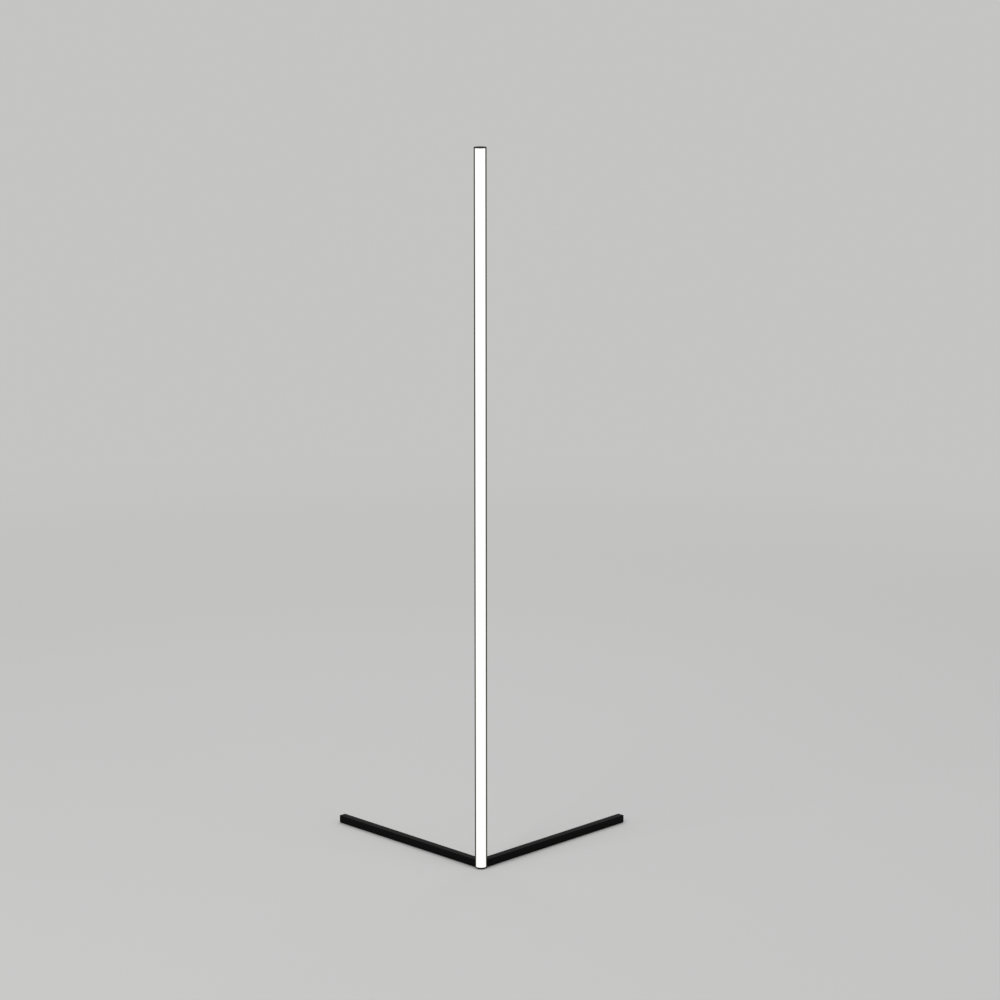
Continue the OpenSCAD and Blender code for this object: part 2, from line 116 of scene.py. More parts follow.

# %% [markdown]
# ## Black powder-coated steel
# The bars and the foot are steel, sprayed with polyester powder and baked. The powder melts into
# a skin with a faint orange peel and a fine grit, so it scatters light widely and stays deep
# black. Faces that look up are painted lighter than the sides, in soft patches: a painted highlight
# of the light from above.
# The grit is about a third of a millimetre across and the orange peel some millimetres, as on
# a real fine-textured coat.

# %% Powder-coated steel
def powder_coated_steel():
    material, shader, place = finish_for("powder-coated steel, matte black", "040404", 0.6, specular=0.07)
    peel = add(material, "ShaderNodeTexNoise", Vector=place, Scale=cells_per_metre(2.5), Detail=2.0)
    grit = add(material, "ShaderNodeTexNoise", Vector=place, Scale=cells_per_metre(0.35), Detail=3.0)
    cloud = add(material, "ShaderNodeTexNoise", Vector=place, Scale=cells_per_metre(45), Detail=3.0)
    shade = add(material, "ShaderNodeMix", {"data_type": "RGBA"}, n0=peel.outputs[0],
                n6=linear("030303"), n7=linear("060606"))
    # Painted highlight: faces that look up are painted lighter than the sides, in soft patches, for the
    # light from above.
    facing = add(material, "ShaderNodeNewGeometry")
    up = add(material, "ShaderNodeSeparateXYZ", Vector=facing.outputs["Normal"])
    lying = add(material, "ShaderNodeMapRange", Value=up.outputs[2], From_Min=0.5, From_Max=1.0,
                To_Max=0.42)
    painted_top_light = add(material, "ShaderNodeMath", {"operation": "MULTIPLY"}, n0=lying.outputs[0],
               n1=cloud.outputs[0])
    coat_with_painted_top_light = add(material, "ShaderNodeMix", {"data_type": "RGBA"}, n0=painted_top_light.outputs[0], n6=shade.outputs[2],
                n7=linear("232322"))
    gloss = add(material, "ShaderNodeMapRange", Value=grit.outputs[0], To_Min=0.52, To_Max=0.7)
    skin = add(material, "ShaderNodeBump", Height=grit.outputs[0], Strength=0.5, Distance=0.03 * MM)
    wave = add(material, "ShaderNodeBump", Height=peel.outputs[0], Strength=0.4, Distance=0.08 * MM,
               Normal=skin.outputs[0])
    join(material, coat_with_painted_top_light.outputs[2], shader, "Base Color")
    join(material, gloss.outputs[0], shader, "Roughness")
    join(material, wave.outputs[0], shader, "Normal")
    return material


STEEL_COAT = powder_coated_steel()

# %% [markdown]
# ## Black anodised aluminium
# The column is an extrusion: aluminium pushed through a die, which leaves faint straight lines
# along its length. Anodising grows a clear oxide layer that takes up black dye, so the surface
# answers light like a satin glaze over black and the lines only show in the gloss. Real lines
# are a tenth of a millimetre apart or less; they are drawn at half a millimetre, so that a close
# view can show them.

# %% Anodised aluminium
def anodised_aluminium():
    material, shader, place = finish_for("anodised aluminium, satin black", "060607", 0.45, specular=0.14)
    stretch = add(material, "ShaderNodeMapping", Vector=place, Scale=(1, 1, 0.004))
    lines = add(material, "ShaderNodeTexNoise", Vector=stretch.outputs[0], Scale=cells_per_metre(0.5),
                Detail=4.0)
    bath = add(material, "ShaderNodeTexNoise", Vector=place, Scale=cells_per_metre(60), Detail=1.0)
    shade = add(material, "ShaderNodeMix", {"data_type": "RGBA"}, n0=bath.outputs[0],
                n6=linear("040405"), n7=linear("08080a"))
    gloss = add(material, "ShaderNodeMapRange", Value=lines.outputs[0], To_Min=0.38, To_Max=0.54)
    relief = add(material, "ShaderNodeBump", Height=lines.outputs[0], Strength=0.35, Distance=0.015 * MM)
    join(material, shade.outputs[2], shader, "Base Color")
    join(material, gloss.outputs[0], shader, "Roughness")
    join(material, relief.outputs[0], shader, "Normal")
    return material


ANODISED = anodised_aluminium()

# %% [markdown]
# ## Opal polycarbonate, lit from inside
# The cover is extruded polycarbonate with a milky filler that scatters the chips' light evenly.
# Switched on it is brighter than anything round it, so it gives off light itself: a warm white
# that weakens towards the rims, where the chips' light meets the cover at a flatter angle. That
# soft fall at both edges is what lets the eye see a tube and not a flat white strip. The chips
# are close together, so their rhythm is only a trace, as fine as one in fifty.
# The filler lets most of the light from outside through into the column, so its own colour is
# set darker than it looks, and the glow isn't doubled by the studio's light.

# %% Opal polycarbonate
CHIP_PITCH = 9.575          # millimetres from one light chip to the next
EVEN_GLOW = 0.58 * COVER_R  # off the middle, where the glow starts to fall
WEAK_GLOW = 0.83 * COVER_R  # and where it is weakest, at the cover's edge
EDGE_GLOW = 0.55            # the glow's strength there, where 1 is its strength in the middle
CHIP_TRACE = 0.02           # how far the chips' rhythm lifts it


def opal_polycarbonate():
    material, shader, place = finish_for("opal polycarbonate, lit warm white", "93928e", 0.42, specular=0.3)
    parts = add(material, "ShaderNodeSeparateXYZ", Vector=place)
    across = add(material, "ShaderNodeMath", {"operation": "ABSOLUTE"}, n0=parts.outputs[0])
    glow = add(material, "ShaderNodeMapRange", {"interpolation_type": "SMOOTHSTEP"},
               Value=across.outputs[0], From_Min=EVEN_GLOW, From_Max=WEAK_GLOW, To_Min=1.0,
               To_Max=EDGE_GLOW)
    rhythm = add(material, "ShaderNodeMath", {"operation": "PINGPONG"}, n0=parts.outputs[2],
                 n1=CHIP_PITCH / 2 * MM)
    beat = add(material, "ShaderNodeMapRange", {"interpolation_type": "SMOOTHSTEP"},
               Value=rhythm.outputs[0], From_Max=CHIP_PITCH / 2 * MM, To_Min=0.0, To_Max=CHIP_TRACE)
    level = add(material, "ShaderNodeMath", {"operation": "ADD"}, n0=glow.outputs[0], n1=beat.outputs[0])
    haze = add(material, "ShaderNodeTexNoise", Vector=place, Scale=cells_per_metre(0.8), Detail=2.0)
    relief = add(material, "ShaderNodeBump", Height=haze.outputs[0], Strength=0.2, Distance=0.01 * MM)
    shader.inputs["Emission Color"].default_value = linear("fffdf9")
    join(material, level.outputs[0], shader, "Emission Strength")
    join(material, relief.outputs[0], shader, "Normal")
    return material


OPAL = opal_polycarbonate()

# %% [markdown]
# ## Moulded black ABS
# The cap and the power socket are injection-moulded. The steel mould was spark-eroded, which
# leaves a fine pebbled grain on the plastic: it breaks up highlights and makes it look matte.
# Real pebbles are about 0.1 mm across. They are drawn at 0.28 mm, because finer ones would blur
# into a plain grey even close by.

# %% Moulded ABS
def moulded_abs():
    material, shader, place = finish_for("moulded ABS, spark-eroded matte black", "080808", 0.62,
                                         specular=0.12)
    pebbles = add(material, "ShaderNodeTexVoronoi", Vector=place, Scale=cells_per_metre(0.28))
    flow = add(material, "ShaderNodeTexNoise", Vector=place, Scale=cells_per_metre(7), Detail=2.0)
    shade = add(material, "ShaderNodeMix", {"data_type": "RGBA"}, n0=flow.outputs[0],
                n6=linear("050505"), n7=linear("0a0a0b"))
    gloss = add(material, "ShaderNodeMapRange", Value=pebbles.outputs[0], To_Min=0.52, To_Max=0.74)
    grain = add(material, "ShaderNodeBump", Height=pebbles.outputs[0], Strength=0.6, Distance=0.03 * MM)
    join(material, shade.outputs[2], shader, "Base Color")
    join(material, gloss.outputs[0], shader, "Roughness")
    join(material, grain.outputs[0], shader, "Normal")
    return material


MOULDED_ABS = moulded_abs()

# %% [markdown]
# ## Small parts' finishes
# The other parts are small, and most of them sit inside the column. Each has its own base colour
# and gloss, but the same story: a tone that drifts a little, and a fine relief from how it was
# made. One recipe tells that story, and the numbers say which material it is.

# %% A recipe for small parts
def small_part_finish(name, dark, light, size_mm, gloss_range, depth_mm, specular=0.5, metallic=0.0,
                      stretch=(1, 1, 1)):
    """Drifts from dark to light over size_mm, with gloss and relief from a finer grain."""
    material, shader, place = finish_for(name, dark, gloss_range[0], specular, metallic)
    pulled = add(material, "ShaderNodeMapping", Vector=place, Scale=stretch)
    drift = add(material, "ShaderNodeTexNoise", Vector=pulled.outputs[0], Scale=cells_per_metre(size_mm),
                Detail=2.0)
    grain = add(material, "ShaderNodeTexNoise", Vector=pulled.outputs[0],
                Scale=cells_per_metre(size_mm / 6), Detail=3.0)
    tone = add(material, "ShaderNodeMapRange", Value=drift.outputs[0], From_Min=0.3, From_Max=0.7)
    shade = add(material, "ShaderNodeMix", {"data_type": "RGBA"}, n0=tone.outputs[0],
                n6=linear(dark), n7=linear(light))
    gloss = add(material, "ShaderNodeMapRange", Value=grain.outputs[0], To_Min=gloss_range[0],
                To_Max=gloss_range[1])
    relief = add(material, "ShaderNodeBump", Height=grain.outputs[0], Strength=0.5, Distance=depth_mm * MM)
    join(material, shade.outputs[2], shader, "Base Color")
    join(material, gloss.outputs[0], shader, "Roughness")
    join(material, relief.outputs[0], shader, "Normal")
    return material

# %% Metals
# Steel screws boiled in an oxide bath: dark, oily-looking metal.
BLACK_OXIDE = small_part_finish("black-oxide steel", "131315", "1c1c1f", 1.2, (0.3, 0.48), 0.01,
                                metallic=1.0)
# Zinc plate with a clear blue passivation: bright, with a cool and warm cast by turns.
ZINC = small_part_finish("zinc-plated steel", "b9c0c9", "cfccc0", 1.6, (0.24, 0.4), 0.01,
                         metallic=1.0)
# Nickel over stamped brass: bright, with the rolling lines of the strip along the blade.
NICKEL = small_part_finish("nickel-plated brass", "cfc8b8", "dcd8cc", 0.9, (0.18, 0.34), 0.006,
                           metallic=1.0, stretch=(1, 0.1, 1))
# Bare copper wire that has seen some air.
COPPER = small_part_finish("bare copper wire", "c98358", "e2a67f", 0.8, (0.22, 0.42), 0.006,
                           metallic=1.0, stretch=(1, 1, 0.1))
# Solder that froze with a slightly wrinkled skin.
SOLDER = small_part_finish("tin solder", "b4b5b3", "d6d6d2", 0.5, (0.2, 0.45), 0.03, metallic=1.0)

# %% Plastics, rubber and board parts
# Nitrile rubber, die-cut from a calendered sheet: dull, with a fine dusty nap.
RUBBER = small_part_finish("nitrile rubber", "121212", "1b1b1b", 1.0, (0.78, 0.92), 0.05,
                           specular=0.25)
# Silicone rubber, extruded: smoother, with a soft shine.
SILICONE = small_part_finish("silicone rubber", "161616", "1d1d1e", 1.0, (0.5, 0.64), 0.02,
                             specular=0.35)
# PVC wire covering: glossy, with faint lines along the wire from its die.
RED_PVC = small_part_finish("red PVC insulation", "a01812", "b8241b", 0.7, (0.28, 0.42), 0.01,
                            stretch=(1, 1, 0.05))
BLACK_PVC = small_part_finish("black PVC insulation", "111112", "1a1a1b", 0.7, (0.3, 0.44), 0.01,
                              stretch=(1, 1, 0.05))
# Reflector frame of a light chip: moulded polyamide, white and slightly chalky.
CHIP_FRAME = small_part_finish("moulded white polyamide", "e6e2d6", "f0ede4", 1.2, (0.42, 0.56), 0.01)
# Silicone filled with phosphor grains, which turn blue light to white.
PHOSPHOR = small_part_finish("phosphor in clear silicone", "d9a92a", "efcf52", 0.4, (0.2, 0.4), 0.02)
# Resistor's cover of black glass glaze.
GLAZE = small_part_finish("black glass glaze", "0e0f10", "17181a", 0.6, (0.2, 0.34), 0.01)
# Glass fibre in epoxy, where the board is cut: a dull straw colour with fine threads.
LAMINATE = small_part_finish("glass-fibre laminate, cut edge", "9d9563", "b8b07c", 0.5, (0.6, 0.8), 0.03,
                             specular=0.35)
# Heat-conducting tape: grey, filled with ceramic powder on a glass scrim.
HEAT_TAPE = small_part_finish("heat-conducting tape", "8d9194", "a2a6a8", 1.0, (0.66, 0.84), 0.03,
                              specular=0.3)

# %% [markdown]
# ## White solder mask
# The light boards are printed with white epoxy. The copper tracks under it stand up a little,
# as two long bands beside the chips, and each group of six chips ends at a scored line, where
# a board can be cut shorter.

# %% Solder mask
BOARD_GROUP = 6 * CHIP_PITCH
TRACK_MIDDLE, TRACK_HALF = 4.1 * MM, 0.45 * MM      # where a copper track runs, and half its width
SCORE_HALF = 0.12 * MM                              # half the width of a scored line
board_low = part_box("led_board_lower")[0]
next_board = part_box("led_board_middle")[0]


def white_solder_mask():
    material, shader, place = finish_for("white epoxy solder mask", "eeeeea", 0.32, specular=0.45)
    parts = add(material, "ShaderNodeSeparateXYZ", Vector=place)
    aside = add(material, "ShaderNodeMath", {"operation": "ABSOLUTE"}, n0=parts.outputs[0])
    track = add(material, "ShaderNodeMath", {"operation": "COMPARE"}, n0=aside.outputs[0],
                n1=TRACK_MIDDLE, n2=TRACK_HALF)
    above = add(material, "ShaderNodeMath", {"operation": "SUBTRACT"}, n0=parts.outputs[2], n1=board_low.z)
    on_board = add(material, "ShaderNodeMath", {"operation": "WRAP"}, n0=above.outputs[0],
                   n1=next_board.z - board_low.z, n2=0.0)
    group = add(material, "ShaderNodeMath", {"operation": "PINGPONG"}, n0=on_board.outputs[0],
                n1=BOARD_GROUP / 2 * MM)
    score = add(material, "ShaderNodeMath", {"operation": "LESS_THAN"}, n0=group.outputs[0],
                n1=SCORE_HALF)
    grain = add(material, "ShaderNodeTexNoise", Vector=place, Scale=cells_per_metre(0.6), Detail=3.0)
    tone = add(material, "ShaderNodeMix", {"data_type": "RGBA"}, n0=grain.outputs[0],
               n6=linear("e9e9e4"), n7=linear("f3f3ef"))
    marked = add(material, "ShaderNodeMix", {"data_type": "RGBA"}, n0=score.outputs[0], n6=tone.outputs[2],
                 n7=linear("6f6a5e"))
    gloss = add(material, "ShaderNodeMapRange", Value=grain.outputs[0], To_Min=0.24, To_Max=0.42)
    raised = add(material, "ShaderNodeBump", Height=track.outputs[0], Strength=1.0, Distance=0.035 * MM)
    relief = add(material, "ShaderNodeBump", Height=grain.outputs[0], Strength=0.3, Distance=0.01 * MM,
                 Normal=raised.outputs[0])
    join(material, marked.outputs[2], shader, "Base Color")
    join(material, gloss.outputs[0], shader, "Roughness")
    join(material, relief.outputs[0], shader, "Normal")
    return material


SOLDER_MASK = white_solder_mask()

# %% [markdown]
# ## Parts that keep their CAD shape
# The legs, the cap, the tapes and the socket's metal have their full shape in the CAD model
# already, with rounded edges where the real ones are rounded. They only need a finish.

# %% Dress the CAD parts
def dress(material, *names):
    """Gives CAD parts a material in place of their plain one."""
    for name in names:
        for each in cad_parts[name].material_slots:
            each.material = material
        print(name, "is finished in", material.name)


dress(STEEL_COAT, "left_leg", "right_leg", "foot_hub")
dress(MOULDED_ABS, "top_cap")
dress(HEAT_TAPE, "board_tape_lower", "board_tape_middle", "board_tape_upper")
dress(NICKEL, "jack_pin", "jack_contact")
dress(SILICONE, "lead_sleeve")

# %% [markdown]
# ## Making pieces
# New pieces are drawn with mesh operators. One helper closes a shape and points its faces out,
# which is done for each closed shape by itself, because only then does its volume tell whether
# it is inside out. The next turns a finished bmesh into an object that stands for its CAD parts
# and rides with the lamp. The last repeats a small pattern, such as a screw or a chip, at each
# of its places.

# %% Helpers for pieces
SAME_PLACE = 0.0005 * MM    # points closer than this are one


def close_up(bm):
    """Merges the doubles of one closed shape and points its faces outwards."""
    bmesh.ops.remove_doubles(bm, verts=bm.verts, dist=SAME_PLACE)
    bmesh.ops.recalc_face_normals(bm, faces=bm.faces)
    if bm.calc_volume(signed=True) < 0:
        bmesh.ops.reverse_faces(bm, faces=bm.faces)
    return bm


def finish_piece(bm, name, slot, materials, *nodes, crease=40):
    """Makes a piece of a bmesh. Edges sharper than crease degrees stay crisp."""
    mesh = bpy.data.meshes.new(name)
    bm.to_mesh(mesh)
    bm.free()
    for material in materials:
        mesh.materials.append(material)
    mesh.shade_smooth()
    mesh.set_sharp_from_angle(angle=math.radians(crease))
    piece = bpy.data.objects.new(name, mesh)
    bpy.context.scene.collection.objects.link(piece)
    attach(piece, BODY)
    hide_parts(*nodes)
    print(name, "has", len(mesh.polygons), "faces")
    return piece


def verts_of(made):
    return [each for each in made["geom"] if isinstance(each, bmesh.types.BMVert)]


def repeat(bm, pattern, places):
    """Adds a copy of a small bmesh at each place, given as a matrix."""
    stencil = bpy.data.meshes.new("stencil")
    for place in places:
        pattern.to_mesh(stencil)
        stencil.transform(place)
        bm.from_mesh(stencil)
    pattern.free()
    bpy.data.meshes.remove(stencil)

# %% [markdown]
# ## The opal cover
# Its section is an arc with two snap hooks that reach behind the column's rims. A radial row of
# edges is spun round the column's axis for each stretch of the arc, where it is as deep as the
# section is there. The stretches share their end points, so they merge into one flat section,
# and one extrusion lifts it to the cover's full length.

# %% Opal cover
COVER_INNER = 10.8          # radii and angles of the section, in millimetres and degrees
HOOK_INNER, HOOK_OUTER, BUMP_OUTER = 9.2, 10.2, 10.55
HOOK_ROOT, COVER_EDGE, BUMP_START, HOOK_TIP = 50, 54.28, 63, 66


def fan(bm, radii, start, end, steps):
    """Sweeps a radial row of edges from one angle to another, counted from the front."""
    turn = Matrix.Rotation(math.radians(start), 3, "Z")
    row = [bm.verts.new(turn @ Vector((0, -r * MM, cover_low.z))) for r in radii]
    edges = [bm.edges.new(pair) for pair in zip(row, row[1:])]
    bmesh.ops.spin(bm, geom=row + edges, cent=(0, 0, 0), axis=(0, 0, 1),
                   angle=math.radians(end - start), steps=steps)


def opal_cover():
    bm = bmesh.new()
    outer = COVER_R / MM
    fan(bm, (COVER_INNER, outer), -HOOK_ROOT, HOOK_ROOT, 24)
    for side in (-1, 1):
        fan(bm, (HOOK_INNER, HOOK_OUTER, COVER_INNER, outer), side * HOOK_ROOT, side * COVER_EDGE, 1)
        fan(bm, (HOOK_INNER, HOOK_OUTER), side * COVER_EDGE, side * BUMP_START, 3)
        fan(bm, (HOOK_INNER, HOOK_OUTER, BUMP_OUTER), side * BUMP_START, side * HOOK_TIP, 1)
    bmesh.ops.remove_doubles(bm, verts=bm.verts, dist=2 * SAME_PLACE)
    lifted = bmesh.ops.extrude_face_region(bm, geom=bm.faces[:])
    bmesh.ops.translate(bm, vec=(0, 0, cover_high.z - cover_low.z), verts=verts_of(lifted))
    piece = finish_piece(close_up(bm), "opal_cover", "opal", [OPAL], "diffuser")
    soften = piece.modifiers.new("rounded_edges", "BEVEL")
    soften.width = 0.12 * MM
    soften.segments = 2
    soften.limit_method = "ANGLE"
    soften.angle_limit = math.radians(40)
    return piece


opal_cover()

# %% [markdown]
# ## Countersunk screws
# Each screw has a flat head with a hexagon socket, a cone that centres it in its seat, and a
# thread. The head's rim and the socket are two closed rows of edges with a bridge of faces
# between them. The rim is then drawn on, ring by ring, down the cone and the shank. The thread
# is a small triangle spun round the shank, which sinks by one pitch for each turn.

# %% A row of edges drawn on
def draw_on(bm, row, scale, drop):
    """Extrudes a closed row of edges, scales it about the Z axis and lowers it. Returns the new row."""
    made = bmesh.ops.extrude_edge_only(bm, edges=row)["geom"]
    verts = [each for each in made if isinstance(each, bmesh.types.BMVert)]
    bmesh.ops.scale(bm, vec=(scale, scale, 1), verts=verts)
    bmesh.ops.translate(bm, vec=(0, 0, -drop), verts=verts)
    edges = [each for each in made if isinstance(each, bmesh.types.BMEdge)]
    return [each for each in edges if set(each.verts) <= set(verts)]

# %% A thread
STEPS_PER_TURN = 16
HALF_TOOTH = 0.4            # half the width of a tooth at its root, as a share of the pitch


def thread(size, root, top, bottom, pitch):
    """A ridge that winds down the Z axis as a right-hand thread does."""
    bm = bmesh.new()
    half = HALF_TOOTH * pitch
    corners = ((root, half), (size / 2, 0), (root, -half))
    ridge = [bm.verts.new((out, 0, top + up)) for out, up in corners]
    tooth = bm.faces.new(ridge)
    steps = int((top - bottom) / pitch * STEPS_PER_TURN)
    bmesh.ops.spin(bm, geom=ridge + tooth.edges[:] + [tooth], cent=(0, 0, 0), axis=(0, 0, 1),
                   dvec=(0, 0, -pitch / STEPS_PER_TURN), angle=math.tau * steps / STEPS_PER_TURN,
                   steps=steps)
    return close_up(bm)

# %% A screw, standing on its tip
HEAD_RIM = 0.2 * MM         # height of the head's straight rim
SOCKET_R = 0.3              # radius of the socket's corners, as a share of the screw's size
THREAD_DEPTH = 0.55         # as a share of the pitch
POINT = 0.6                 # height of the tapered tip, as a share of the pitch


def flat_screw(size, head, length, pitch):
    """A screw with its head's flat face at height 0 and its tip below; sizes in metres."""
    bm = bmesh.new()
    head_r, root = head / 2, size / 2 - THREAD_DEPTH * pitch
    blunt, cone = 0.06 * head_r, (head - size) / 2
    bmesh.ops.create_circle(bm, segments=24, radius=head_r - blunt)
    rim_row = bm.edges[:]
    bmesh.ops.create_circle(bm, segments=6, radius=SOCKET_R * size)
    socket_row = [e for e in bm.edges if e not in rim_row]
    bmesh.ops.bridge_loops(bm, edges=rim_row + socket_row)
    well = draw_on(bm, socket_row, 1, size / 2)
    bmesh.ops.edgeloop_fill(bm, edges=draw_on(bm, well, 0.1, 0.1 * size))
    row = draw_on(bm, rim_row, head_r / (head_r - blunt), blunt)
    row = draw_on(bm, row, 1, HEAD_RIM - blunt)
    row = draw_on(bm, row, root / head_r, cone)
    row = draw_on(bm, row, 1, length - HEAD_RIM - cone - POINT * pitch)
    bmesh.ops.edgeloop_fill(bm, edges=draw_on(bm, row, 0.75, POINT * pitch))
    close_up(bm)
    thread_top = -HEAD_RIM - cone - HALF_TOOTH * pitch
    thread_end = 0.7 * pitch - length
    repeat(bm, thread(size, root * 0.97, thread_top, thread_end, pitch), [Matrix.Identity(4)])
    return bm

# %% Where the screws go
DOWN_THE_HOLE = Matrix.Rotation(math.radians(-90), 4, "X")   # turns a screw's tip from -Z to -Y
UPSIDE_DOWN = Matrix.Rotation(math.radians(180), 4, "X")     # turns its tip up


def ends_along(node, axis, inset):
    """The two places at the ends of a node's box along one axis, each inset towards its middle."""
    low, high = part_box(node)
    low[axis] += inset
    high[axis] -= inset
    return low[axis], high[axis]


def screws(name, slot, material, node, bit, places):
    bm = bmesh.new()
    repeat(bm, bit, places)
    return finish_piece(bm, name, slot, [material], node, crease=28)


# Each size is the thread's outer diameter and its pitch.
TAPPING_SCREW = (2.2 * MM, 0.8 * MM)
M2 = (2 * MM, 0.4 * MM)
M4 = (4 * MM, 0.7 * MM)

cap_low, cap_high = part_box("top_cap_screws")
cap_head = 3.8 * MM
screws("cap_screws", "black_screw", BLACK_OXIDE, "top_cap_screws",
       flat_screw(TAPPING_SCREW[0], cap_head, cap_high.z - cap_low.z, TAPPING_SCREW[1]),
       [Matrix.Translation((x, (cap_low.y + cap_high.y) / 2, cap_high.z))
        for x in ends_along("top_cap_screws", 0, cap_head / 2)])
back_low, back_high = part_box("column_screws")
back_head = back_high.x - back_low.x
screws("back_screws", "black_screw", BLACK_OXIDE, "column_screws",
       flat_screw(M4[0], back_head, back_high.y - back_low.y, M4[1]),
       [Matrix.Translation((0, back_high.y, z)) @ DOWN_THE_HOLE
        for z in ends_along("column_screws", 2, back_head / 2)])
socket_low, socket_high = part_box("jack_screws")
socket_head = socket_high.x - socket_low.x
screws("socket_screws", "zinc_screw", ZINC, "jack_screws",
       flat_screw(M2[0], socket_head, socket_high.y - socket_low.y, M2[1]),
       [Matrix.Translation((0, socket_high.y, z)) @ DOWN_THE_HOLE
        for z in ends_along("jack_screws", 2, socket_head / 2)])

# %% Screws under the legs
leg_low, leg_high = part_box("leg_screws")
under_head = 7.5 * MM
LEG_SCREW_STEP = 18 * MM / math.sqrt(2)      # along X or Y, from one screw of a leg to the other
outer_x = leg_high.x - under_head / 2
outer_y = leg_high.y - under_head / 2
screws("under_leg_screws", "zinc_screw", ZINC, "leg_screws",
       flat_screw(M4[0], under_head, leg_high.z - leg_low.z, M4[1]),
       [Matrix.Translation((side * (outer_x - step), outer_y - step, leg_low.z)) @ UPSIDE_DOWN
        for side in (-1, 1) for step in (0, LEG_SCREW_STEP)])

# %% [markdown]
# ## Rubber pads
# Three pads keep the steel off the floor. They are die-cut from a rubber sheet, with edges that
# the press rounds a little and a ring or frame pressed into the face that stands on the floor.

# %% Pads
RIM_ROUND = 0.2 * MM
FRAME_IN, FRAME_WIDE = 1.2 * MM, 1.0 * MM           # the pressed frame: off the rim, and its width
PRESS_SLOPE, PRESS_DEPTH = 0.25 * MM, 0.25 * MM
MIDDLE_RISE = 0.2 * MM                              # back up inside the frame, not quite level
LEG_PAD_LONG, LEG_PAD_WIDE = 28 * MM, 12 * MM


def press_edges(bm, sheet, thickness):
    """Gives a flat outline its thickness, rounds its rims and presses a frame into its underside."""
    raised = bmesh.ops.extrude_face_region(bm, geom=[sheet])
    bmesh.ops.translate(bm, vec=(0, 0, thickness), verts=verts_of(raised))
    bmesh.ops.recalc_face_normals(bm, faces=bm.faces)
    rims = [e for e in bm.edges if abs(e.verts[0].co.z - e.verts[1].co.z) < 0.01 * MM]
    bmesh.ops.bevel(bm, geom=rims, offset=RIM_ROUND, segments=3, profile=0.5, affect="EDGES", material=-1)
    under = [f for f in bm.faces if f.normal.z < -0.99]
    bmesh.ops.inset_region(bm, faces=under, thickness=FRAME_IN, depth=0)
    bmesh.ops.inset_region(bm, faces=under, thickness=PRESS_SLOPE, depth=-PRESS_DEPTH)
    bmesh.ops.inset_region(bm, faces=under, thickness=FRAME_WIDE, depth=0)
    bmesh.ops.inset_region(bm, faces=under, thickness=PRESS_SLOPE, depth=MIDDLE_RISE)
    close_up(bm)


def column_pad():
    low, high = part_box("apex_pad")
    bm = bmesh.new()
    bmesh.ops.create_circle(bm, cap_ends=True, segments=48, radius=high.x)
    press_edges(bm, bm.faces[:][0], high.z - low.z)
    return finish_piece(bm, "column_pad", "pad_rubber", [RUBBER], "apex_pad", crease=60)


def leg_pad(name, node, side):
    low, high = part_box(node)
    bm = bmesh.new()
    bmesh.ops.create_grid(bm, x_segments=1, y_segments=1, size=0.5)
    bmesh.ops.scale(bm, vec=(LEG_PAD_LONG, LEG_PAD_WIDE, 1), verts=bm.verts)
    bmesh.ops.bevel(bm, geom=bm.verts[:], offset=LEG_PAD_WIDE / 4, segments=6, profile=0.5,
                    affect="VERTICES", material=-1)
    press_edges(bm, bm.faces[:][0], high.z - low.z)
    turn = Matrix.Rotation(math.radians(90 - 45 * side), 4, "Z")
    middle = (low + high) / 2
    bmesh.ops.transform(bm, matrix=Matrix.Translation((middle.x, middle.y, low.z)) @ turn, verts=bm.verts)
    return finish_piece(bm, name, "pad_rubber", [RUBBER], node, crease=60)


column_pad()
leg_pad("left_end_pad", "left_leg_pad", -1)
leg_pad("right_end_pad", "right_leg_pad", 1)

# %% [markdown]
# ## Light boards
# A board is a strip of glass-fibre sheet, routed to width, so its long edges are slightly
# broken. At each end it has two tinned pads for the wires that join it to the next board, or
# on the lowest board, two longer pads for the leads.

# %% Tinned pads
PAD_RISE = 0.04 * MM


def tinned_pad(bm, x, front_y, z, wide, tall):
    """A thin pad on the board's face, with rounded corners."""
    patch = bmesh.new()
    bmesh.ops.create_grid(patch, x_segments=1, y_segments=1, size=0.5)
    bmesh.ops.scale(patch, vec=(wide, tall, 1), verts=patch.verts)
    bmesh.ops.bevel(patch, geom=patch.verts[:], offset=0.3 * wide, segments=3, profile=0.5,
                    affect="VERTICES", material=-1)
    raised = bmesh.ops.extrude_face_region(patch, geom=patch.faces[:])
    bmesh.ops.translate(patch, vec=(0, 0, PAD_RISE), verts=verts_of(raised))
    for face in patch.faces:
        face.material_index = 1
    stand = Matrix.Rotation(math.radians(90), 4, "X")
    repeat(bm, close_up(patch), [Matrix.Translation((x, front_y, z)) @ stand])


# %% Boards
CUT_EDGE = 0.12 * MM
# Each pad's place off the board's middle and off its end, then the pad's width and height.
LEAD_PAD = (1.3 * MM, 1.75 * MM, 1.7 * MM, 2.6 * MM)
LINK_PAD = (2.55 * MM, 1.15 * MM, 1.6 * MM, 1.9 * MM)


